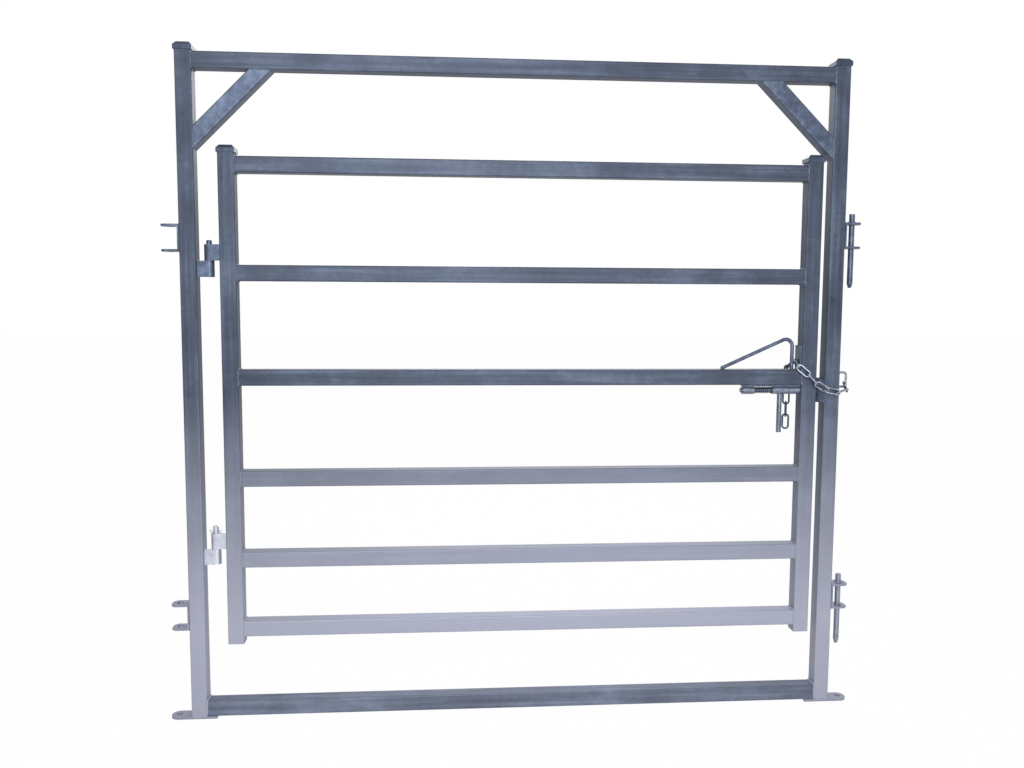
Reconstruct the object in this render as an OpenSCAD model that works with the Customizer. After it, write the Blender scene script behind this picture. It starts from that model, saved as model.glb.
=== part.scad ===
// Stock gate in its own frame, with a sliding spring bolt and a safety chain.
// Units are millimetres. +X runs along the gate from hinge to latch.
// +Y runs away from the side the gate opens to. +Z is up.
// The origin is on the ground, midway between the two ground anchor holes.

/* [Overall size] */
// outside width over the two posts
frame_w = 2100; // [1500:10:3000]
// height of the top of the frame top rail above the ground
frame_h = 2087; // [1700:10:2600]
// side of the square tube that everything is made of
tube_w = 50; // [40:1:70]
// wall thickness of the tube
tube_wall = 3; // [2:0.5:5]
// outside corner radius of the tube
tube_r = 4; // [3:0.5:8]

/* [Gate] */
// gap between the hinge post and the gate
hinge_gap = 70; // [50:1:110]
// gap between the latch post and the gate
latch_gap = 28; // [20:1:45]
// top of the highest gate rail
rail_top_z = 1779; // [1400:1:2200]
// top of the second rail
rail_2_z = 1449; // [1200:1:1700]
// top of the third rail, which carries the bolt and the chain guard
rail_3_z = 1124; // [900:1:1400]
// top of the fourth rail
rail_4_z = 804; // [650:1:1050]
// top of the fifth rail
rail_5_z = 544; // [420:1:750]
// top of the lowest gate rail
rail_low_z = 319; // [200:1:500]
// how far the gate posts stand above the highest rail
stile_over = 23; // [15:1:80]
// how far the gate posts reach below the lowest rail
stile_under = 24; // [5:1:80]

/* [Frame] */
// thickness of the foot plates
foot_t = 8; // [5:1:15]
// how far the foot plate reaches past the post
foot_reach = 68; // [50:1:110]
// anchor hole diameter in the foot plate
anchor_d = 18; // [10:1:24]
// length of a corner brace along the post, to its lower edge
brace_leg = 240; // [180:1:400]

/* [Joining lugs] */
// height of the middle of the lower lug on the left post
lug_low_z = 335; // [250:1:600]
// height of the middle of the upper lug on the left post
lug_high_z = 1530; // [1100:1:1800]
// how much higher the right lugs sit, so that two panels interleave
lug_shift = 28; // [20:1:40]
// distance between the two ears of a lug, middle to middle
lug_pitch = 77; // [60:1:120]
// thickness of an ear
lug_t = 7; // [5:1:10]
// how far an ear reaches out from the post
lug_reach = 56; // [45:1:80]
// hole diameter in an ear
lug_hole_d = 22; // [16:1:30]
// distance from the post to the middle of the hole
lug_hole_x = 31; // [25:1:45]

/* [Drop pins] */
// drop pin diameter
drop_d = 18; // [12:1:24]
// drop pin length
drop_len = 238; // [180:1:320]
// how far the pin stands above the upper ear
drop_over = 28; // [15:1:50]

/* [Hinges] */
// height of the bottom of the lower hinge
hinge_low_z = 503; // [350:1:800]
// height of the bottom of the upper hinge
hinge_high_z = 1411; // [1000:1:1700]
// height of one hinge eye
eye_h = 50; // [30:1:80]
// thickness of the rolled strap
eye_t = 6.5; // [5:0.5:9]
// hinge pin diameter
hinge_d = 17; // [12:0.5:22]
// gap between the hinge pin and the gate eye, on radius
hinge_fit = 0.08; // [0.02:0.01:0.1]

/* [Bolt] */
// bolt diameter
bolt_d = 16; // [12:1:20]
// gap between the bolt and its guides, on radius
bolt_fit = 0.08; // [0.02:0.01:0.1]
// outside diameter of the guides and the sleeve
guide_d = 26; // [22:1:32]
// length of each of the two guides
guide_len = 38; // [25:1:60]
// length of the sliding sleeve
sleeve_len = 51; // [40:1:70]
// length of the spring with the bolt shot
spring_len = 63; // [50:1:90]
// thickness of the plate that carries the bolt
plate_t = 6; // [4:1:10]
// length of the handle below the bolt axis
handle_len = 139; // [80:1:200]
// how far the bolt draws back
bolt_draw = 30; // [26:1:40]
// height of the keeper
keeper_h = 78; // [60:1:120]
// thickness of the keeper plate
keeper_t = 4; // [3:0.5:6]

/* [Chain] */
// wire diameter of the chain
wire_d = 6; // [4:0.5:7]
// inside length of a link
link_len = 42; // [36:1:50]
// inside width of a link
link_wid = 13; // [11:0.5:16]
// wire diameter of the staple on the latch post
staple_d = 7.5; // [6:0.5:10]

/* [Hidden] */
$fn = 48;
eps = 0.01;
half = tube_w / 2;

// posts and gate posts, given by the face that looks at the gap
post_in = frame_w / 2 - tube_w;
post_mid = frame_w / 2 - half;
gate_l = -post_in + hinge_gap;
gate_r = post_in - latch_gap;
gate_bot = rail_low_z - tube_w - stile_under;
gate_top = rail_top_z + stile_over;
rail_z = [rail_top_z, rail_2_z, rail_3_z, rail_4_z, rail_5_z, rail_low_z];
rail_l = gate_l + tube_w;
rail_r = gate_r - tube_w;
hinge_x = -post_in + hinge_gap / 2;
post_top = frame_h + 17;

// square caps
cap_wall = 3;
cap_skirt = 13;
cap_bevel = 10;
cap_w = tube_w + 2 * cap_wall;

// hinges
eye_bore = hinge_d + 2 * hinge_fit;
eye_r = eye_bore / 2 + eye_t;
eye_gap = 0.3;

// bolt row, hung under the third rail
latch_rail = rail_z[2];
plate_z = latch_rail - tube_w - plate_t;
bolt_z = plate_z - guide_d / 2;
guide_r_x = rail_r - guide_len;
sleeve_gap = 0.5;
sleeve_x = guide_r_x - sleeve_gap - sleeve_len;
spring_x = sleeve_x - spring_len;
guide_l_x = spring_x - guide_len;
bolt_tip = post_in - 4;
bolt_end = guide_l_x - 6;
spring_wire = 2.4;
spring_r = bolt_d / 2 + spring_wire / 2 + 0.5;
spring_turns = 9;
handle_d = 16;
handle_x = sleeve_x + sleeve_len / 2;

// keeper in the gap, standing clear of the gate post
keeper_face = gate_r + 4;
keeper_hole = bolt_d + 4;

// chain guard on the third rail
guard_d = 12;
guard_x = rail_r - 31;
guard_y = -12;
guard_bend = 22;
guard_bend_d = guard_d + 0.3; // modelling allowance: the two skins must not coincide
guard_knuckle_d = guard_d + 0.8; // the same allowance, where the arm meets the short leg
guard_rise = 76;
guard_slope = 24.3;
guard_drop = 90;
slot_t = 6;
slot_h = 78;
slot_y0 = -20;
slot_y1 = 25;

// chain, measured from the latch corner of the gate: x from the outer gate
// face of the latch post, y from the middle of the tube, z from the rail top
cx = rail_r - 922;
cz = latch_rail - 1124;
link_pts = [
  [1079, 6, 1074],
  [1070, -29, 1058],
  [1036, -47, 1052],
  [999, -43, 1059],
  [964, -45, 1080],
  [936, -45, 1108],
  [908, -30, 1134],
  [904, 5, 1149],
  [897, 37, 1130],
  [896, 44, 1090],
  [896, 41, 1049],
  [896, 41, 1008],
  [896, 41, 967],
  [896, 41, 926]
];
link_roll = [30, 105, 35, -35, -100, 20, 150, 40, 130, 15, 15, 105, 15];
staple_low = 1066;
staple_high = 1113;
staple_out = 31;

// bar with four round corners, standing on z = 0
module round_bar(w, r, h) {
  translate([-w / 2 + r, -w / 2, 0]) cube([w - 2 * r, w, h]);
  translate([-w / 2, -w / 2 + r, 0]) cube([w, w - 2 * r, h]);
  for (sx = [-1, 1]) {
    for (sy = [-1, 1]) {
      translate([sx * (w / 2 - r), sy * (w / 2 - r), 0]) cylinder(r = r, h = h);
    }
  }
}

// hollow square tube, standing on z = 0
module tube(h) {
  difference() {
    round_bar(tube_w, tube_r, h);
    translate([0, 0, -1]) round_bar(tube_w - 2 * tube_wall, max(tube_r - tube_wall, 0.5), h + 2);
  }
}

// the same tube lying along +X, with its top face at z
module rail(x0, x1, z) {
  translate([x0, 0, z - half]) rotate([0, 90, 0]) tube(x1 - x0);
}

// square cap over a tube end at height z
module cap(x, z) {
  translate([x, 0, z]) {
    difference() {
      union() {
        translate([-cap_w / 2, -cap_w / 2, -cap_skirt]) cube([cap_w, cap_w, cap_skirt]);
        linear_extrude(height = cap_bevel, scale = (cap_w - 18) / cap_w)
          square(cap_w, center = true);
      }
      translate([0, 0, -cap_skirt - 1]) round_bar(tube_w, tube_r, cap_skirt + 1);
    }
  }
}

// corner brace cut flat against the post and the rail; side is -1 or 1
module brace(side) {
  run = brace_leg - tube_w / sqrt(2);
  mid = run;
  long = brace_leg * sqrt(2);
  intersection() {
    translate([side * post_in, 0, frame_h - tube_w - mid])
      rotate([0, -side * 45, 0])
        translate([0, 0, -half])
          tube(long + tube_w);
    translate([side > 0 ? post_in - brace_leg - 1 : -post_in, -tube_w, frame_h - tube_w - brace_leg - 1])
      cube([brace_leg + 1, 2 * tube_w, brace_leg + 1]);
  }
}

// foot plate with a round outer end; side is -1 or 1
module foot(side) {
  end_x = frame_w / 2 + foot_reach - half;
  hole_x = frame_w / 2 + foot_reach - half;
  in_x = post_in - 30;
  difference() {
    union() {
      translate([side > 0 ? in_x : -end_x, -half, 0]) cube([end_x - in_x, tube_w, foot_t]);
      translate([side * end_x, 0, 0]) cylinder(r = half, h = foot_t);
    }
    translate([side * hole_x, 0, -1]) cylinder(d = anchor_d, h = foot_t + 2);
  }
}

// one ear of a joining lug, lying on z = 0 and reaching along +X
module ear() {
  tip = 12;
  difference() {
    linear_extrude(height = lug_t)
      polygon([
        [0, -half], [lug_reach - tip, -half], [lug_reach, -half + tip],
        [lug_reach, half - tip], [lug_reach - tip, half], [0, half]
      ]);
    translate([lug_hole_x, 0, -1]) cylinder(d = lug_hole_d, h = lug_t + 2);
  }
}

// joining lug: two ears on a back plate, with its middle at height z
module lug(side, z) {
  translate([side * frame_w / 2, 0, z])
    rotate([0, 0, side > 0 ? 0 : 180]) {
      translate([0, 0, lug_pitch / 2 - lug_t / 2]) ear();
      translate([0, 0, -lug_pitch / 2 - lug_t / 2]) ear();
      translate([0, -half, -lug_pitch / 2]) cube([5, tube_w, lug_pitch]);
    }
}

// loose pin through both ears of a right lug whose middle is at height z
module drop_pin(z) {
  ear_top = z + lug_pitch / 2 + lug_t / 2;
  low = ear_top + drop_over - drop_len;
  translate([frame_w / 2 + lug_hole_x, 0, 0]) {
    difference() {
      union() {
        translate([0, 0, low + 14]) cylinder(d = drop_d, h = drop_len - 14);
        translate([0, 0, low]) cylinder(d1 = drop_d - 8, d2 = drop_d, h = 14);
        translate([0, 0, ear_top + 0.3]) cylinder(d1 = drop_d + 8, d2 = drop_d + 3, h = 4);
      }
      translate([0, -drop_d, low + 26]) rotate([-90, 0, 0]) cylinder(d = 5, h = 2 * drop_d);
    }
  }
}

// rolled hinge eye with its strap running to the face at x = to_x
module eye(z, to_x, bore) {
  side = to_x > hinge_x ? 1 : -1;
  run = abs(to_x - hinge_x);
  translate([hinge_x, 0, z])
    scale([side, 1, 1])
      difference() {
        union() {
          cylinder(r = eye_r, h = eye_h);
          translate([0, -eye_r, 0]) cube([run, eye_t, eye_h]);
        }
        translate([0, 0, -1]) cylinder(d = bore, h = eye_h + 2);
        translate([bore / 2 - 1, -eye_r + eye_t, -1]) cube([eye_t + 4, 1.5, eye_h + 2]);
      }
}

// hinge pin, fixed in the frame eye and standing proud of the gate eye
module hinge_pin(z, proud) {
  top = 2 * eye_h + eye_gap + proud;
  translate([hinge_x, 0, z])
    difference() {
      union() {
        cylinder(d = hinge_d, h = top - 2);
        translate([0, 0, top - 2]) cylinder(d1 = hinge_d, d2 = hinge_d - 4, h = 2);
      }
      translate([-hinge_d, 0, top - proud + 6.5]) rotate([0, 90, 0]) cylinder(d = 4, h = 2 * hinge_d);
    }
}

module cyl_x(x0, x1, d) {
  translate([x0, 0, bolt_z]) rotate([0, 90, 0]) cylinder(d = d, h = x1 - x0);
}

// chain link number i, drawn along its own z from one contact to the next
module chain_link(i) {
  a = link_pts[i];
  b = link_pts[i + 1];
  d = b - a;
  mid = (a + b) / 2;
  arc = (link_wid + wire_d) / 2;
  leg = link_len / 2 + wire_d / 2 - arc;
  translate([mid[0] + cx, mid[1], mid[2] + cz])
    rotate([0, acos(d[2] / norm(d)), atan2(d[1], d[0])])
      rotate([0, 0, link_roll[i]]) {
        for (s = [-1, 1]) {
          translate([s * arc, 0, -leg]) cylinder(d = wire_d, h = 2 * leg);
          translate([0, 0, s * leg])
            rotate([s * 90, 0, 0])
              rotate_extrude(angle = 180) translate([arc, 0]) circle(d = wire_d);
        }
      }
}

module post_left() { color("#7f8794") translate([-post_mid, 0, foot_t]) tube(post_top - foot_t); }
module post_right() { color("#7f8794") translate([post_mid, 0, foot_t]) tube(post_top - foot_t); }
module post_cap_left() { color("#6d7482") cap(-post_mid, post_top); }
module post_cap_right() { color("#6d7482") cap(post_mid, post_top); }
module top_rail() { color("#737b89") rail(-post_in, post_in, frame_h); }
module bottom_rail() { color("#a2a7b8") rail(-post_in, post_in, foot_t + tube_w); }
module brace_left() { color("#737b89") brace(-1); }
module brace_right() { color("#737b89") brace(1); }
module foot_plate_left() { color("#9ca2b2") foot(-1); }
module foot_plate_right() { color("#9ca2b2") foot(1); }
module lug_upper_left() { color("#6f7786") lug(-1, lug_high_z); }
module lug_lower_left() { color("#8f96a6") lug(-1, lug_low_z); }
module lug_upper_right() { color("#6f7786") lug(1, lug_high_z + lug_shift); }
module lug_lower_right() { color("#8f96a6") lug(1, lug_low_z + lug_shift); }
module frame_eye_upper() { color("#5e6573") eye(hinge_high_z, -post_in, hinge_d); }
module frame_eye_lower() { color("#c3c8d2") eye(hinge_low_z, -post_in, hinge_d); }
module hinge_pin_upper() { color("#5e6573") hinge_pin(hinge_high_z, 13); }
module hinge_pin_lower() { color("#c3c8d2") hinge_pin(hinge_low_z, 22); }
module drop_pin_upper() { color("#626a79") drop_pin(lug_high_z + lug_shift); }
module drop_pin_lower() { color("#7b8292") drop_pin(lug_low_z + lug_shift); }

module split_pin() {
  z = hinge_low_z + 2 * eye_h + eye_gap + 6.5;
  color("#8d93a0")
    translate([hinge_x, 0, z]) {
      translate([-hinge_d / 2 - 3, 0, 0]) rotate([0, 90, 0]) cylinder(d = 4, h = hinge_d + 7);
      translate([-hinge_d / 2 - 7, 0, 0])
        rotate([90, 0, 0]) rotate_extrude() translate([4, 0]) circle(d = 2.4);
      translate([hinge_d / 2 + 3, 0, 0]) rotate([0, 125, 0]) cylinder(d = 2.4, h = 10);
      translate([hinge_d / 2 + 3, 0, 0]) rotate([0, 70, 0]) cylinder(d = 2.4, h = 9);
    }
}

// plate folded across the gap: flange on the post, slam ramp, face with a hole
module bolt_keeper() {
  k = keeper_t;
  f = keeper_face;
  p = post_in;
  color("#667080")
    difference() {
      translate([0, 0, bolt_z - keeper_h / 2])
        linear_extrude(height = keeper_h)
          polygon([
            [p + 13, -half - k], [p, -half - k], [f, -half / 3], [f, half], [p, half],
            [p, half - k], [f + k, half - k], [f + k, -half / 3 + 1.5], [p, -half], [p + 13, -half]
          ]);
      translate([f - 1, 0, bolt_z]) rotate([0, 90, 0]) cylinder(d = keeper_hole, h = k + 10);
    }
}

// wire staple on the outer face of the latch post, for the first chain link
module chain_staple() {
  x = frame_w / 2;
  r = 9;
  lo = staple_low + cz;
  hi = staple_high + cz;
  color("#7a8190") {
    translate([x, 0, lo]) rotate([0, 90, 0]) cylinder(d = staple_d, h = staple_out - r);
    translate([x, 0, hi]) rotate([0, 90, 0]) cylinder(d = staple_d, h = staple_out - r);
    translate([x + staple_out, 0, lo + r]) cylinder(d = staple_d, h = hi - lo - 2 * r);
    translate([x + staple_out - r, 0, hi - r])
      rotate([90, 0, 0]) rotate_extrude(angle = 90) translate([r, 0]) circle(d = staple_d);
    translate([x + staple_out - r, 0, lo + r])
      rotate([90, 0, 0]) rotate_extrude(angle = -90) translate([r, 0]) circle(d = staple_d);
  }
}

module gate_post(x, drill) {
  color("#828a98")
    difference() {
      translate([x, 0, gate_bot]) tube(gate_top - gate_bot);
      if (drill) {
        translate([x - tube_w, 0, bolt_z]) rotate([0, 90, 0]) cylinder(d = bolt_d + 2, h = 2 * tube_w);
      }
    }
}
module gate_post_hinge() { gate_post(gate_l + half, false); }
module gate_post_latch() { gate_post(gate_r - half, true); }
module gate_cap_hinge() { color("#6d7482") cap(gate_l + half, gate_top); }
module gate_cap_latch() { color("#6d7482") cap(gate_r - half, gate_top); }
module gate_rail_1() { color("#78808e") rail(rail_l, rail_r, rail_z[0]); }
module gate_rail_2() { color("#7e8694") rail(rail_l, rail_r, rail_z[1]); }
module gate_rail_3() { color("#858c9b") rail(rail_l, rail_r, rail_z[2]); }
module gate_rail_4() { color("#9197a6") rail(rail_l, rail_r, rail_z[3]); }
module gate_rail_5() { color("#9aa0b0") rail(rail_l, rail_r, rail_z[4]); }
module gate_rail_6() { color("#a0a5b6") rail(rail_l, rail_r, rail_z[5]); }
module gate_eye_upper() { color("#5e6573") eye(hinge_high_z + eye_h + eye_gap, gate_l, eye_bore); }
module gate_eye_lower() { color("#cfd3dc") eye(hinge_low_z + eye_h + eye_gap, gate_l, eye_bore); }

module bolt_plate() {
  color("#80879a")
    translate([guide_l_x, -16, plate_z]) cube([rail_r - guide_l_x, 32, plate_t]);
}

module bolt_guide(x) {
  color("#8b92a1")
    difference() {
      cyl_x(x, x + guide_len, guide_d);
      cyl_x(x - 1, x + guide_len + 1, bolt_d + 2 * bolt_fit);
    }
}
module bolt_guide_left() { bolt_guide(guide_l_x); }
module bolt_guide_right() { bolt_guide(guide_r_x); }

// bent bar over the rail; its upright leg and the slot plate catch a link
module chain_guard() {
  top = latch_rail + guard_rise;
  arm = guard_drop / sin(guard_slope);
  end_x = guard_x - guard_bend - guard_bend * sin(guard_slope) - arm * cos(guard_slope);
  end_z = top + guard_bend * cos(guard_slope) - guard_drop;
  color("#6a7180")
    translate([0, guard_y, 0]) {
      translate([guard_x, 0, latch_rail]) cylinder(d = guard_d, h = guard_rise + 0.4);
      translate([guard_x - guard_bend, 0, top])
        rotate([90, 0, 0])
          rotate_extrude(angle = 90 + guard_slope) translate([guard_bend, 0]) circle(d = guard_bend_d);
      translate([end_x, 0, end_z])
        rotate([0, 90 - guard_slope, 0]) cylinder(d = guard_d, h = arm + 0.4);
      translate([end_x, 0, end_z]) sphere(d = guard_knuckle_d);
      translate([end_x, 0, latch_rail]) cylinder(d = guard_d, h = end_z - latch_rail);
    }
}

module chain_slot_plate() {
  color("#5c6372")
    translate([rail_r - slot_t, slot_y0, latch_rail]) cube([slot_t, slot_y1 - slot_y0, slot_h]);
}

module bolt_rod() {
  color("#9aa1ae") {
    cyl_x(bolt_end, bolt_tip - 3, bolt_d);
    translate([bolt_tip - 3, 0, bolt_z]) rotate([0, 90, 0]) cylinder(d1 = bolt_d, d2 = bolt_d - 5, h = 3);
  }
}

module bolt_sleeve() {
  color("#8e95a4")
    difference() {
      cyl_x(sleeve_x, sleeve_x + sleeve_len, guide_d);
      cyl_x(sleeve_x - 1, sleeve_x + sleeve_len + 1, bolt_d);
    }
}

module bolt_handle() {
  color("#8e95a4")
    difference() {
      translate([handle_x, 0, bolt_z - handle_len]) cylinder(d = handle_d, h = handle_len);
      cyl_x(sleeve_x, sleeve_x + sleeve_len, guide_d);
    }
}

// round wire wound into a coil around the bolt
module bolt_spring() {
  pitch = (spring_len - spring_wire) / spring_turns;
  w = spring_wire / 2;
  color("#565c68")
    translate([spring_x + w, 0, bolt_z])
      rotate([0, 90, 0])
        linear_extrude(height = spring_len - spring_wire, twist = -360 * spring_turns,
                       slices = 20 * spring_turns, $fn = 12)
          polygon([
            for (k = [0 : 11])
              (spring_r + w * cos(k * 30)) *
              [cos(w * sin(k * 30) / pitch * 360), sin(w * sin(k * 30) / pitch * 360)]
          ]);
}

module chain_link_01() { color("#8a90a0") chain_link(0); }
module chain_link_02() { color("#b9bcc6") chain_link(1); }
module chain_link_03() { color("#a7abb8") chain_link(2); }
module chain_link_04() { color("#a7abb8") chain_link(3); }
module chain_link_05() { color("#a7abb8") chain_link(4); }
module chain_link_06() { color("#a7abb8") chain_link(5); }
module chain_link_07() { color("#3f4550") chain_link(6); }
module chain_link_08() { color("#3f4550") chain_link(7); }
module chain_link_09() { color("#4d535f") chain_link(8); }
module chain_link_10() { color("#4d535f") chain_link(9); }
module chain_link_11() { color("#565c68") chain_link(10); }
module chain_link_12() { color("#4d535f") chain_link(11); }
module chain_link_13() { color("#666c79") chain_link(12); }

post_left();
post_right();
post_cap_left();
post_cap_right();
top_rail();
bottom_rail();
brace_left();
brace_right();
foot_plate_left();
foot_plate_right();
lug_upper_left();
lug_lower_left();
lug_upper_right();
lug_lower_right();
frame_eye_upper();
frame_eye_lower();
hinge_pin_upper();
hinge_pin_lower();
split_pin();
bolt_keeper();
chain_staple();
drop_pin_upper();
drop_pin_lower();
gate_post_hinge();
gate_post_latch();
gate_cap_hinge();
gate_cap_latch();
gate_rail_1();
gate_rail_2();
gate_rail_3();
gate_rail_4();
gate_rail_5();
gate_rail_6();
gate_eye_upper();
gate_eye_lower();
bolt_plate();
bolt_guide_left();
bolt_guide_right();
chain_guard();
chain_slot_plate();
bolt_rod();
bolt_sleeve();
bolt_handle();
bolt_spring();
chain_link_01();
chain_link_02();
chain_link_03();
chain_link_04();
chain_link_05();
chain_link_06();
chain_link_07();
chain_link_08();
chain_link_09();
chain_link_10();
chain_link_11();
chain_link_12();
chain_link_13();
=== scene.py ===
import bpy
import bmesh
import math
import numpy as np
from mathutils import Matrix, Vector


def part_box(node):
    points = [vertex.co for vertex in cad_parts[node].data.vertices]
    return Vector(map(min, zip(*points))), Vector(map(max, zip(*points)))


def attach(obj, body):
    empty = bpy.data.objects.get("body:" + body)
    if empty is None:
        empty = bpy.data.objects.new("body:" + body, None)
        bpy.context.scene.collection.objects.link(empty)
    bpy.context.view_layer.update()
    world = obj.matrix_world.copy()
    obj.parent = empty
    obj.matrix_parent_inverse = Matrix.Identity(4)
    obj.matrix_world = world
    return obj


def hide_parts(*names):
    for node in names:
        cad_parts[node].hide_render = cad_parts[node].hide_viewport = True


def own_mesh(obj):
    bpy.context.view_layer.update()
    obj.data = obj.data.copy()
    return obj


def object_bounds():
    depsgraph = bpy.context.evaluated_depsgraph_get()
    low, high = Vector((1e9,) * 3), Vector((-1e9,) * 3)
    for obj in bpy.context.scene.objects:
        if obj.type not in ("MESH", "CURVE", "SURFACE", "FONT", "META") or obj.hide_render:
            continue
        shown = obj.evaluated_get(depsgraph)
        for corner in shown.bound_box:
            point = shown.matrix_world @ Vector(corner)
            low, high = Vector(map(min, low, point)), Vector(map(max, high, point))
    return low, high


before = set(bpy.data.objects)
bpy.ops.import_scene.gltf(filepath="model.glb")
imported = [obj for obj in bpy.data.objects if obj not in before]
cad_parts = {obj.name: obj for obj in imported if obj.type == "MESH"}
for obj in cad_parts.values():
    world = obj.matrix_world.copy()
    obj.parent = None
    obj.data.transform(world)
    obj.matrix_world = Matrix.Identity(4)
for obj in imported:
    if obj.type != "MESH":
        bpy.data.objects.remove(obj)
cadLow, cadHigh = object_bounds()
print("frame loaded:", len(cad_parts), "nodes")

# camera

cameraValues = {
    "place": (-0.2534, -2.964, 1.354),
    "yawDeg": 4.427,      # turned to the right of +Y
    "pitchDeg": -5.335,
    "rollDeg": 0.311,
    "lensMm": 32.69,
}


def makeCamera(v):
    yaw, pitch, roll = (math.radians(v[k]) for k in ("yawDeg", "pitchDeg", "rollDeg"))
    ahead = Vector((math.sin(yaw) * math.cos(pitch), math.cos(yaw) * math.cos(pitch), math.sin(pitch)))
    level = Vector((math.cos(yaw), -math.sin(yaw), 0.0))
    up = level.cross(ahead)
    right = level * math.cos(roll) + up * math.sin(roll)
    up = up * math.cos(roll) - level * math.sin(roll)
    data = bpy.data.cameras.new("camera")
    data.lens = v["lensMm"]
    data.sensor_width = 36.0
    data.sensor_fit = "HORIZONTAL"
    cam = bpy.data.objects.new("camera", data)
    turn = Matrix((right, up, -ahead)).transposed().to_4x4()
    cam.matrix_world = Matrix.Translation(Vector(v["place"])) @ turn
    bpy.context.scene.collection.objects.link(cam)
    bpy.context.scene.camera = cam


makeCamera(cameraValues)
print("camera made")

# materials


def hexColour(text):
    """sRGB hex to a linear colour: each channel through the sRGB curve."""
    channels = [int(text[i:i + 2], 16) / 255 for i in (1, 3, 5)]
    linear = [c / 12.92 if c <= 0.04045 else ((c + 0.055) / 1.055) ** 2.4 for c in channels]
    return (*linear, 1.0)


def addNode(tree, kind, settings=None, links=None):
    """Adds a node, sets its properties or sockets, and links sockets to outputs."""
    n = tree.nodes.new(kind)
    for key, value in (settings or {}).items():
        if isinstance(key, str) and hasattr(n, key):
            setattr(n, key, value)
        else:
            n.inputs[key].default_value = value
    for key, output in (links or {}).items():
        tree.links.new(output, n.inputs[key])
    return n


def newTree(name):
    mat = bpy.data.materials.new(name)
    mat.use_nodes = True
    mat.node_tree.nodes.clear()
    return mat, mat.node_tree


def zincMaterial(name, v):
    # Hot-dip zinc on steel: a dull grey-blue skin with cloudy patches a hand
    # wide, crystals of about a centimetre and runs along the bar.
    mat, t = newTree(name)
    place = addNode(t, "ShaderNodeTexCoord").outputs["Object"]
    cloud = addNode(t, "ShaderNodeTexNoise", {"Scale": 1000 / v["cloudMm"], "Detail": 4.0,
                    "Roughness": 0.6}, {"Vector": place}).outputs["Fac"]
    crystal = addNode(t, "ShaderNodeTexVoronoi", {"Scale": 1000 / v["crystalMm"],
                      "Randomness": 1.0}, {"Vector": place}).outputs["Color"]
    crystalGrey = addNode(t, "ShaderNodeSeparateColor", None, {"Color": crystal}).outputs["Red"]
    alongX, alongZ = v["runScale"]
    stretched = addNode(t, "ShaderNodeMapping", {"Scale": (alongX, 1.0, alongZ)},
                        {"Vector": place}).outputs["Vector"]
    runs = addNode(t, "ShaderNodeTexNoise", {"Scale": 1000 / v["runMm"], "Detail": 3.0,
                   "Distortion": 0.3}, {"Vector": stretched}).outputs["Fac"]
    grain = addNode(t, "ShaderNodeTexNoise", {"Scale": 1000 / v["grainMm"], "Detail": 2.0},
                    {"Vector": place}).outputs["Fac"]
    # patches and runs pick between the dark and the pale zinc
    mixA = addNode(t, "ShaderNodeMix", {"data_type": "FLOAT", "Factor": v["runShare"]},
                   {"A": cloud, "B": runs}).outputs["Result"]
    mixB = addNode(t, "ShaderNodeMix", {"data_type": "FLOAT", "Factor": v["crystalShare"]},
                   {"A": mixA, "B": crystalGrey}).outputs["Result"]
    ramp = addNode(t, "ShaderNodeValToRGB", None, {"Fac": mixB})
    ramp.color_ramp.elements[0].position = 0.3
    ramp.color_ramp.elements[0].color = hexColour(v["dark"])
    ramp.color_ramp.elements[1].position = 0.72
    ramp.color_ramp.elements[1].color = hexColour(v["pale"])
    middle = ramp.color_ramp.elements.new(0.5)
    middle.color = hexColour(v["middle"])
    # painted reflection: the zinc is painted paler low down and darker high up, a pale colour mixed in by height in
    # place of reflected light
    height = addNode(t, "ShaderNodeSeparateXYZ", None, {"Vector": place}).outputs["Z"]
    low = addNode(t, "ShaderNodeMapRange", {"From Min": v["paleBelow"], "From Max": v["darkAbove"],
                  "To Min": v["paintedReflectionShare"], "To Max": 0.0}, {"Value": height}).outputs["Result"]
    colour = addNode(t, "ShaderNodeMix", {"data_type": "RGBA", "blend_type": "MIX", 7: hexColour(v["paintedReflection"])},
                     {0: low, 6: ramp.outputs["Color"]}).outputs[2]
    rough = addNode(t, "ShaderNodeMapRange", {"From Min": 0.3, "From Max": 0.7,
                    "To Min": v["roughLow"], "To Max": v["roughHigh"]}, {"Value": mixB}).outputs["Result"]
    bumpCloud = addNode(t, "ShaderNodeBump", {"Strength": v["lumpStrength"], "Distance": v["lumpMm"] / 1000},
                        {"Height": mixB}).outputs["Normal"]
    bump = addNode(t, "ShaderNodeBump", {"Strength": v["grainStrength"], "Distance": 0.0003},
                   {"Height": grain, "Normal": bumpCloud}).outputs["Normal"]
    shader = addNode(t, "ShaderNodeBsdfPrincipled", {"Metallic": v["metallic"], "Specular IOR Level": v["shine"]},
                     {"Base Color": colour, "Roughness": rough, "Normal": bump})
    addNode(t, "ShaderNodeOutputMaterial", None, {"Surface": shader.outputs["BSDF"]})
    return mat


# the pale fourth colour and the share that mixes it in low down are painted reflection
zincBase = {
    "dark": "#343A46", "middle": "#485060", "pale": "#687185", "paintedReflection": "#A7AABB",
    "cloudMm": 190, "crystalMm": 16, "runMm": 14, "grainMm": 3.0,
    "runScale": (0.03, 1.0), "runShare": 0.5, "crystalShare": 0.05,
    "paleBelow": 0.3, "darkAbove": 1.05, "paintedReflectionShare": 0.85,
    "roughLow": 0.36, "roughHigh": 0.55, "metallic": 0.25, "shine": 0.08,
    "lumpStrength": 0.1, "lumpMm": 0.6, "grainStrength": 0.2,
}
# rails lie along X and posts stand along Z, so their runs do too
zincRail = zincMaterial("hot_dip_zinc_rail", zincBase)
zincPost = zincMaterial("hot_dip_zinc_post", {**zincBase, "runScale": (1.0, 0.03)})
# ground rail: darker than the rest of the low part, with little of the painted reflection mixed in
zincGround = zincMaterial("hot_dip_zinc_ground_rail", {
    **zincBase, "middle": "#555F73", "pale": "#7C859A", "paintedReflectionShare": 0.15})
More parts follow.
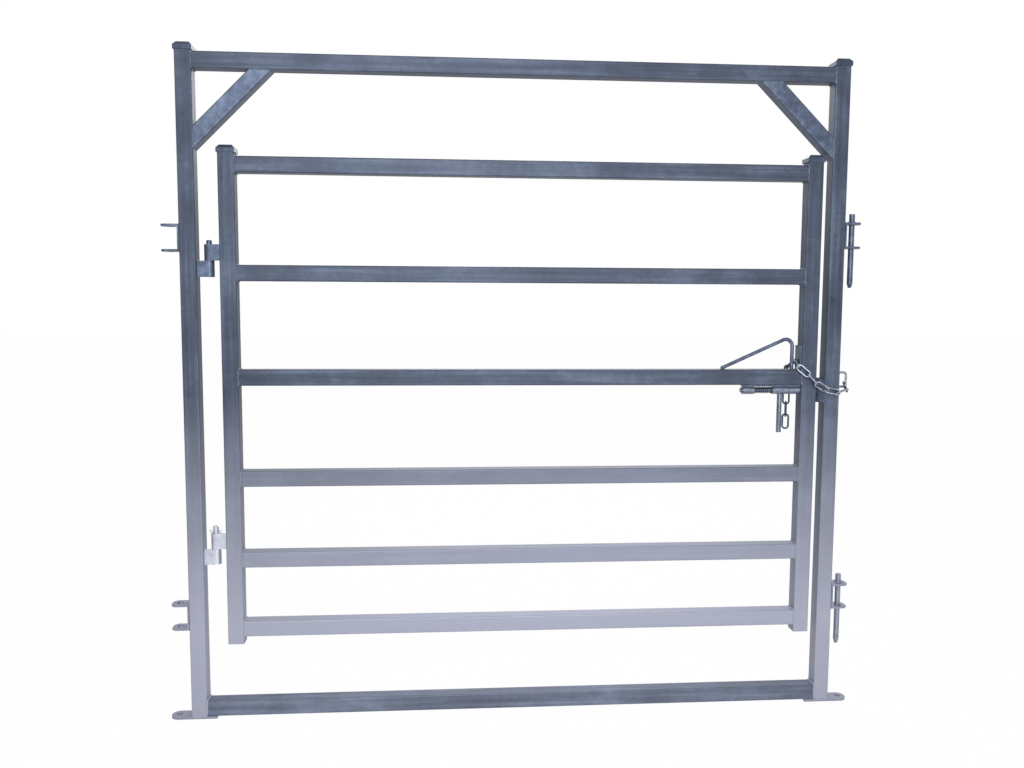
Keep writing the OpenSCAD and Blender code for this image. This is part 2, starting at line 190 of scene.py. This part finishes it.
# plate and bar: the same bath, thicker and a shade darker, with less of the painted reflection mixed in low down
zincFitting = zincMaterial("hot_dip_zinc_fitting", {
    **zincBase, "dark": "#3A4250", "middle": "#4F596C", "pale": "#707A8F", "runScale": (1.0, 1.0),
    "cloudMm": 50, "crystalMm": 9, "runMm": 20, "roughLow": 0.32, "roughHigh": 0.5,
    "metallic": 0.5, "paintedReflectionShare": 0.6})
# pressed caps: thin sheet with a smoother coat
zincCap = zincMaterial("hot_dip_zinc_cap", {
    **zincBase, "dark": "#333B49", "middle": "#434C5E", "pale": "#586277", "runScale": (1.0, 1.0),
    "cloudMm": 45, "roughLow": 0.28, "roughHigh": 0.42})
# lower hinge and pins: spun zinc, nearly white where it is new
zincBright = zincMaterial("bright_zinc_hinge", {
    **zincBase, "dark": "#868C9B", "middle": "#B2B7C4", "pale": "#DDE0E8", "paintedReflection": "#C9CDD8",
    "runScale": (1.0, 1.0), "cloudMm": 30, "runMm": 12, "roughLow": 0.25, "roughHigh": 0.42,
    "metallic": 0.6})
# turned guides and sleeve: paler and smoother than the plate above them
zincTurned = zincMaterial("zinc_turned_sleeve", {
    **zincBase, "dark": "#59616F", "middle": "#777F90", "pale": "#9BA2B2", "paintedReflection": "#8F95A5",
    "runScale": (0.2, 1.0), "cloudMm": 30, "runMm": 8, "roughLow": 0.26, "roughHigh": 0.42,
    "metallic": 0.6})
# bolt, worn bright by its guides
steelWorn = zincMaterial("worn_steel_bolt", {
    **zincBase, "dark": "#444B59", "middle": "#5F6777", "pale": "#838A9A", "paintedReflection": "#7C8292",
    "runScale": (1.0, 0.08), "cloudMm": 30, "runMm": 6, "roughLow": 0.24, "roughHigh": 0.4,
    "metallic": 0.7, "lumpStrength": 0.05})
# chain: welded links, electroplated bright and drained in small patches
zincChain = zincMaterial("bright_zinc_chain", {
    **zincBase, "dark": "#5A606F", "middle": "#888E9D", "pale": "#C4C8D2", "paintedReflection": "#808695",
    "runScale": (1.0, 1.0), "cloudMm": 18, "crystalMm": 6, "runMm": 8,
    "roughLow": 0.2, "roughHigh": 0.38, "metallic": 0.8})
# painted shade: the first link and the tail on the far side of the post lie in shade, so they are the same links
# painted darker, and rougher
zincChainPaintedShade = zincMaterial("dull_zinc_chain", {
    **zincBase, "dark": "#262B36", "middle": "#3B4250", "pale": "#626979", "paintedReflection": "#4A505E",
    "runScale": (1.0, 1.0), "cloudMm": 18, "crystalMm": 6, "runMm": 8,
    "roughLow": 0.3, "roughHigh": 0.5, "metallic": 0.6})
# spring: oiled dark wire with drawing marks round it
steelSpring = zincMaterial("oiled_spring_steel", {
    **zincBase, "dark": "#1C2028", "middle": "#2E343F", "pale": "#4D5461", "paintedReflection": "#343A45",
    "runScale": (1.0, 1.0), "cloudMm": 12, "crystalMm": 5, "runMm": 3,
    "roughLow": 0.24, "roughHigh": 0.4, "metallic": 0.7})
# welds under the zinc: wavy, a little paler than the tube
zincWeld = zincMaterial("hot_dip_zinc_weld", {
    **zincBase, "dark": "#454E5E", "middle": "#5E6779", "pale": "#8B92A3", "runScale": (1.0, 1.0),
    "cloudMm": 14, "crystalMm": 6, "runMm": 6, "roughLow": 0.3, "roughHigh": 0.5,
    "lumpStrength": 0.3})

finishOfNode = {
    zincPost: ["post_left", "post_right", "gate_post_hinge", "gate_post_latch"],
    zincGround: ["bottom_rail"],
    zincRail: ["top_rail"] + [f"gate_rail_{i}" for i in range(1, 7)],
    zincCap: ["post_cap_left", "post_cap_right", "gate_cap_hinge", "gate_cap_latch"],
    zincBright: ["frame_eye_lower", "gate_eye_lower", "hinge_pin_lower", "split_pin"],
    zincTurned: ["bolt_guide_left", "bolt_guide_right", "bolt_sleeve"],
    steelWorn: ["bolt_rod", "bolt_handle"],
    zincChain: [f"chain_link_{i:02d}" for i in range(2, 8)] + ["chain_staple"],
    # the first link and the far tail take the painted-shade copy of the chain
    zincChainPaintedShade: ["chain_link_01"] + [f"chain_link_{i:02d}" for i in range(8, 14)],
    steelSpring: ["bolt_spring"],
}


def paint(obj, mat):
    if not obj.material_slots:
        obj.data.materials.append(mat)
    for place in obj.material_slots:
        place.material = mat


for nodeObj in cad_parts.values():
    paint(nodeObj, zincFitting)
for finish, names in finishOfNode.items():
    for name in names:
        paint(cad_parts[name], finish)
print("finishes painted")

# weld beads

weldValues = {
    "tubeRadius": 0.0026,   # bead round a tube end
    "smallRadius": 0.0018,  # bead on plate and bar
    "ripple": 0.16,         # share of the radius
    "ripplePitch": 0.0052,  # one puddle of the weld
    "step": 0.0014,
    "around": 10,
}


def evenly(points, step, closed):
    """The same path with points an even step apart: length along it is interpolated."""
    p = np.vstack([points, points[:1]]) if closed else np.asarray(points, float)
    along = np.concatenate([[0.0], np.cumsum(np.linalg.norm(np.diff(p, axis=0), axis=1))])
    count = max(int(round(along[-1] / step)), 8)
    at = np.linspace(0.0, along[-1], count + 1)
    if closed:
        at = at[:-1]
    return np.stack([np.interp(at, along, p[:, k]) for k in range(3)], axis=1), at, along[-1]


def bead(path, radius, closed, phase=0.0):
    """A bead along a path: a ring of points stands square to the path at each
    step, and its radius swells in even puddles; open ends shrink to a point
    as a quarter circle does."""
    v = weldValues
    points, at, length = evenly(np.asarray(path, float), v["step"], closed)
    if closed:
        along = np.roll(points, -1, axis=0) - np.roll(points, 1, axis=0)
        waves = max(round(length / v["ripplePitch"]), 1)
        swell = 1 + v["ripple"] * np.sin(2 * np.pi * waves * at / length + phase)
    else:
        along = np.gradient(points, axis=0)
        ends = np.clip(np.minimum(at, length - at) / radius, 0.0, 1.0)
        swell = 1 + v["ripple"] * np.sin(2 * np.pi * at / v["ripplePitch"] + phase)
        swell = swell * np.sqrt(1 - (1 - ends) ** 2)
    along = along / np.linalg.norm(along, axis=1, keepdims=True)
    spread = np.linalg.svd(points - points.mean(0), full_matrices=True)[2][2]
    if abs(spread @ along[0]) > 0.9:
        spread = np.roll(spread, 1)
    side = np.cross(along, spread)
    side = side / np.linalg.norm(side, axis=1, keepdims=True)
    lift = np.cross(side, along)
    turn = 2 * np.pi * np.arange(v["around"]) / v["around"]
    rings = (points[:, None, :]
             + (radius * swell)[:, None, None]
             * (np.cos(turn)[None, :, None] * side[:, None, :] + np.sin(turn)[None, :, None] * lift[:, None, :]))
    if not closed:
        rings = rings[1:-1]
    n, m = rings.shape[:2]
    row = np.arange(n if closed else n - 1)[:, None]
    col = np.arange(m)[None, :]
    nextRow, nextCol = (row + 1) % n, (col + 1) % m
    quads = np.stack([row * m + col, nextRow * m + col, nextRow * m + nextCol, row * m + nextCol],
                     axis=-1).reshape(-1, 4)
    verts = rings.reshape(-1, 3)
    faces = quads.tolist()
    if not closed:
        verts = np.vstack([verts, points[:1], points[-1:]])
        first, last = n * m, n * m + 1
        faces += [[first, c, (c + 1) % m] for c in range(m)]
        faces += [[last, (n - 1) * m + (c + 1) % m, (n - 1) * m + c] for c in range(m)]
    return verts, faces


def weldPiece(name, body, beads):
    verts, faces, base = [], [], 0
    for v, f in beads:
        verts.append(v)
        faces += [[i + base for i in one] for one in f]
        base += len(v)
    mesh = bpy.data.meshes.new(name)
    mesh.from_pydata(np.vstack(verts).tolist(), [], faces)
    mesh.update()
    obj = bpy.data.objects.new(name, mesh)
    bpy.context.scene.collection.objects.link(obj)
    clean = bmesh.new()
    clean.from_mesh(mesh)
    bmesh.ops.recalc_face_normals(clean, faces=clean.faces)
    clean.to_mesh(mesh)
    clean.free()
    for p in mesh.polygons:
        p.use_smooth = True
    paint(obj, zincWeld)
    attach(obj, body)
    return obj


def squareRing(x, yMid, zMid, half):
    """Round a tube end: a square with rounded corners, as a superellipse whose
    power is 12, in the plane x = constant."""
    a = np.linspace(0, 2 * np.pi, 400, endpoint=False)
    c, s = np.cos(a), np.sin(a)
    y = yMid + half * np.sign(c) * np.abs(c) ** (1 / 6)
    z = zMid + half * np.sign(s) * np.abs(s) ** (1 / 6)
    return np.stack([np.full_like(y, x), y, z], axis=1)


def circleRing(centre, radius, axis):
    """Round a bar: a circle square to the axis (0, 1 or 2)."""
    a = np.linspace(0, 2 * np.pi, 80, endpoint=False)
    ring = np.zeros((80, 3))
    ring[:, (axis + 1) % 3] = radius * np.cos(a)
    ring[:, (axis + 2) % 3] = radius * np.sin(a)
    return ring + np.array(centre)


r = weldValues["tubeRadius"]
s = weldValues["smallRadius"]
for i, name in enumerate(["top_rail"] + [f"gate_rail_{k}" for k in range(1, 7)]):
    lo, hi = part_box(name)
    zMid = (lo.z + hi.z) / 2
    half = (hi.z - lo.z) / 2
    ends = [bead(squareRing(x, 0.0, zMid, half), r, True, i + j) for j, x in enumerate((lo.x, hi.x))]
    weldPiece(f"weld_{name}", "frame" if name == "top_rail" else "gate", ends)

lo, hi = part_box("bottom_rail")
halfTube = (hi.y - lo.y) / 2
uPaths = [[(x, -halfTube, lo.z + 0.006), (x, -halfTube, hi.z), (x, halfTube, hi.z), (x, halfTube, lo.z + 0.006)]
          for x in (lo.x, hi.x)]
weldPiece("weld_bottom_rail", "frame", [bead(p, r, False) for p in uPaths])

for name in ("foot_plate_left", "foot_plate_right"):
    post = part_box(name.replace("foot_plate", "post"))
    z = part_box(name)[1].z
    lines = [bead([(post[0].x + 0.004, y, z), (post[1].x - 0.004, y, z)], r, False) for y in (-halfTube, halfTube)]
    weldPiece(f"weld_{name}", "frame", lines)

for name in ("lug_upper_left", "lug_lower_left", "lug_upper_right", "lug_lower_right"):
    lo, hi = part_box(name)
    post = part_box("post_left" if "left" in name else "post_right")
    x = post[0].x if "left" in name else post[1].x
    earT = 0.007
    lines = []
    for z in (lo.z, lo.z + earT, hi.z - earT, hi.z):
        lines.append(bead([(x, lo.y + 0.004, z), (x, hi.y - 0.004, z)], s, False, z * 40))
    weldPiece(f"weld_{name}", "frame", lines)
print("tube and lug welds made")

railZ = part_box("gate_rail_3")
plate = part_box("bolt_plate")
runs, guideRuns = [], []
for name in ("bolt_guide_left", "bolt_guide_right"):
    lo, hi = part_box(name)
    for y in (plate[0].y, plate[1].y):
        runs.append(bead([(lo.x + 0.002, y, plate[1].z), (hi.x - 0.001, y, plate[1].z)], 0.0024, False, y * 99))
    for y in (-0.0065, 0.0065):
        guideRuns.append(bead([(lo.x + 0.002, y, plate[0].z - 0.0004), (hi.x - 0.002, y, plate[0].z - 0.0004)],
                              0.002, False, y * 300))
weldPiece("weld_bolt_plate", "gate", runs)
weldPiece("weld_bolt_guides", "gate", guideRuns)

for name, body in (("frame_eye_upper", "frame"), ("frame_eye_lower", "frame"),
                   ("gate_eye_upper", "gate"), ("gate_eye_lower", "gate")):
    lo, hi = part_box(name)
    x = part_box("post_left")[1].x if body == "frame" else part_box("gate_post_hinge")[0].x
    edges = [bead([(x, -0.011, z), (x, 0.011, z)], s, False, z * 50) for z in (lo.z, hi.z)]
    weldPiece(f"weld_{name}", body, edges)

lo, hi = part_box("bolt_keeper")
weldPiece("weld_keeper", "frame", [bead([(hi.x, -halfTube, lo.z + 0.003), (hi.x, -halfTube, hi.z - 0.003)], s, False)])

lo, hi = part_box("chain_guard")
legs = [bead(circleRing((x, (lo.y + hi.y) / 2, railZ[1].z), 0.006, 2), s, True, x) for x in (lo.x + 0.0065, hi.x - 0.0061)]
weldPiece("weld_chain_guard", "gate", legs)

lo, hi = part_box("chain_slot_plate")
weldPiece("weld_slot_plate", "gate", [bead([(lo.x, lo.y + 0.002, lo.z), (lo.x, hi.y - 0.002, lo.z)], s, False)])

lo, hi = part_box("chain_staple")
rod = (hi.y - lo.y) / 2
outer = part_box("post_right")[1].x
feet = [bead(circleRing((outer, 0.0, z), rod, 0), 0.0015, True, z) for z in (lo.z + rod, hi.z - rod)]
weldPiece("weld_staple", "frame", feet)

lo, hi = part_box("bolt_handle")
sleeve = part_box("bolt_sleeve")
weldPiece("weld_handle", "bolt", [bead(circleRing(((lo.x + hi.x) / 2, 0.0, sleeve[0].z + 0.0022), 0.0082, 2), 0.0016, True)])

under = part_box("top_rail")[0].z
for name, side in (("brace_left", -1), ("brace_right", 1)):
    lo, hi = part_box(name)
    cut = 2 * halfTube * math.sqrt(2)
    inner, far = (lo.x, hi.x) if side < 0 else (hi.x, lo.x)
    seams = []
    for y in (-halfTube, halfTube):
        seams.append(bead([(far + side * 0.002, y, under), (far + side * (cut - 0.002), y, under)], 0.002, False, y))
        seams.append(bead([(inner, y, lo.z + 0.002), (inner, y, lo.z + cut - 0.002)], 0.002, False, y + 1))
    weldPiece(f"weld_{name}", "frame", seams)
print("fitting and brace welds made")

# bolt spring

springValues = {
    "turns": 9,
    "wireRadius": 0.0012,
    "around": 12,
    "stepsPerTurn": 48,
    "closedShare": 0.12,   # of the length at each end, where the turns lie close
}


def springWire(v, x0, x1, z, radius):
    """A helix about the bolt: the angle runs evenly and x runs with it, slower
    in the end turns; a round ring is carried along it and each end is shut."""
    n = v["turns"] * v["stepsPerTurn"] + 1
    t = np.linspace(0.0, 1.0, n)
    c = v["closedShare"]
    pace = np.clip(np.minimum(t, 1 - t) / c, 0.35, 1.0)
    run = np.concatenate([[0.0], np.cumsum((pace[1:] + pace[:-1]) / 2)])
    x = x0 + v["wireRadius"] + (x1 - x0 - 2 * v["wireRadius"]) * run / run[-1]
    a = 2 * np.pi * v["turns"] * t
    path = np.stack([x, radius * np.cos(a), z + radius * np.sin(a)], axis=1)
    along = np.gradient(path, axis=0)
    along = along / np.linalg.norm(along, axis=1, keepdims=True)
    out = np.stack([np.zeros(n), np.cos(a), np.sin(a)], axis=1)
    out = out - along * np.sum(out * along, axis=1, keepdims=True)
    out = out / np.linalg.norm(out, axis=1, keepdims=True)
    side = np.cross(along, out)
    m = v["around"]
    b = 2 * np.pi * np.arange(m) / m
    rings = path[:, None, :] + v["wireRadius"] * (np.cos(b)[None, :, None] * out[:, None, :]
                                                  + np.sin(b)[None, :, None] * side[:, None, :])
    row, col = np.arange(n - 1)[:, None], np.arange(m)[None, :]
    nextCol = (col + 1) % m
    quads = np.stack([row * m + col, (row + 1) * m + col, (row + 1) * m + nextCol, row * m + nextCol],
                     axis=-1).reshape(-1, 4).tolist()
    ends = [list(range(m)), [(n - 1) * m + c for c in range(m)][::-1]]
    return rings.reshape(-1, 3), quads + ends


lo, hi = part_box("bolt_spring")
middleZ = (lo.z + hi.z) / 2
coil = springWire(springValues, lo.x, hi.x, middleZ, (hi.z - lo.z) / 2 - springValues["wireRadius"])
spring = weldPiece("bolt_spring_wire", "gate", [coil])
paint(spring, steelSpring)
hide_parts("bolt_spring")
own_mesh(spring)
print("spring made")

# stage and light

stageValues = {
    "floorColour": "#F4F4F4",
    "floorSize": 60.0,
    "whiteShare": 0.985,     # how much of the seen floor is plain white
    "worldForObject": 0.16,
}


def makeFloor(v):
    h = v["floorSize"] / 2
    mesh = bpy.data.meshes.new("floor")
    mesh.from_pydata([(-h, -h, 0), (h, -h, 0), (h, h, 0), (-h, h, 0)], [], [(0, 1, 2, 3)])
    floor = bpy.data.objects.new("floor", mesh)
    floor.location.z = cadLow.z - 0.0005
    bpy.context.scene.collection.objects.link(floor)
    mat, t = newTree("floor_white")
    path = addNode(t, "ShaderNodeLightPath").outputs
    seen = addNode(t, "ShaderNodeMath", {"operation": "MAXIMUM"},
                   {0: path["Is Camera Ray"], 1: path["Is Glossy Ray"]}).outputs[0]
    seen = addNode(t, "ShaderNodeMath", {"operation": "MAXIMUM"},
                   {0: seen, 1: path["Is Transmission Ray"]}).outputs[0]
    share = addNode(t, "ShaderNodeMath", {"operation": "MULTIPLY", 1: v["whiteShare"]}, {0: seen}).outputs[0]
    dull = addNode(t, "ShaderNodeBsdfDiffuse", {"Color": hexColour(v["floorColour"])}).outputs[0]
    white = addNode(t, "ShaderNodeEmission", {"Color": (1, 1, 1, 1), "Strength": 1.0}).outputs[0]
    both = addNode(t, "ShaderNodeMixShader", None, {0: share, 1: dull, 2: white}).outputs[0]
    addNode(t, "ShaderNodeOutputMaterial", None, {"Surface": both})
    mesh.materials.append(mat)


def makeWorld(v):
    world = bpy.data.worlds.new("studio")
    bpy.context.scene.world = world
    world.use_nodes = True
    t = world.node_tree
    t.nodes.clear()
    path = addNode(t, "ShaderNodeLightPath").outputs
    seen = addNode(t, "ShaderNodeMath", {"operation": "MAXIMUM"},
                   {0: path["Is Camera Ray"], 1: path["Is Glossy Ray"]}).outputs[0]
    seen = addNode(t, "ShaderNodeMath", {"operation": "MAXIMUM"},
                   {0: seen, 1: path["Is Transmission Ray"]}).outputs[0]
    power = addNode(t, "ShaderNodeMapRange", {"To Min": v["worldForObject"], "To Max": 1.0},
                    {"Value": seen}).outputs[0]
    back = addNode(t, "ShaderNodeBackground", {"Color": (1, 1, 1, 1)}, {"Strength": power}).outputs[0]
    addNode(t, "ShaderNodeOutputWorld", None, {"Surface": back})


lampValues = [
    # name, place, size, power in watts, aimed at
    ("key", (-0.5, -5.2, 2.6), 2.2, 200.0, (0.0, 0.0, 1.0)),
    ("fill", (0.9, -5.0, 0.9), 2.0, 70.0, (0.1, 0.0, 0.6)),
    ("back", (0.5, 3.2, 3.6), 3.0, 120.0, (0.0, 0.0, 1.1)),
]


def makeLamps(lamps):
    for name, place, size, power, aim in lamps:
        data = bpy.data.lights.new(name, "AREA")
        data.size = size
        data.energy = power
        lamp = bpy.data.objects.new(name, data)
        lamp.location = place
        lamp.rotation_euler = (Vector(aim) - Vector(place)).to_track_quat("-Z", "Y").to_euler()
        bpy.context.scene.collection.objects.link(lamp)


makeFloor(stageValues)
makeWorld(stageValues)
makeLamps(lampValues)
bpy.context.scene.view_settings.view_transform = "Standard"
print("stage and lamps made")
